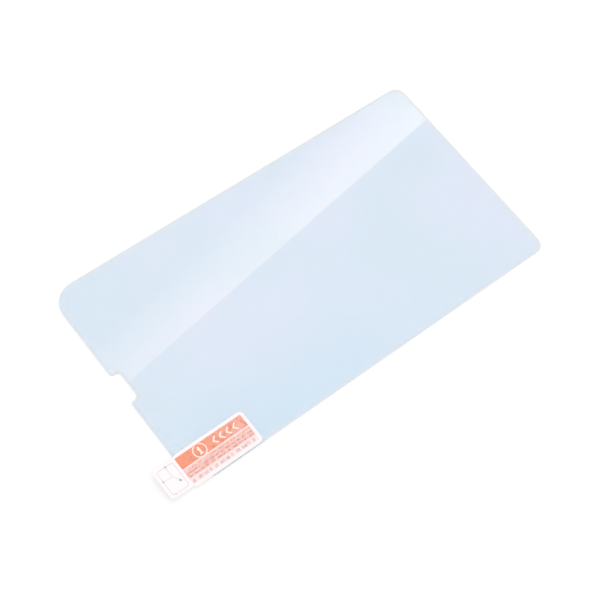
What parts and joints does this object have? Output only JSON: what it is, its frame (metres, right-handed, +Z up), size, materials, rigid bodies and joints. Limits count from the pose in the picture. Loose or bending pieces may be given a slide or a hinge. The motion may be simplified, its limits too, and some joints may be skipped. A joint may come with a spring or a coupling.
{
  "type": "phone screen protector",
  "caption": "Clear tempered glass sheet with rounded corners and an earpiece notch, its adhesive side under a peel-off film with a corner pull tab.",
  "frame": {"origin": "centre of the flat face that the glass lies on, which is the glass's outer face", "axes": "+X along the sheet, away from the end with the earpiece notch; +Z up, out of the release film"},
  "size_m": [0.1437, 0.0728, 0.0015],
  "materials": {
    "glass": "gloss",
    "adhesive": "clear silicone",
    "film": "gloss",
    "label": "satin, printed"
  },
  "bodies": {
    "root": {"tempered_glass": "glass", "adhesive_layer": "adhesive", "release_film": "film", "pull_label": "label"}
  },
  "joints": []
}
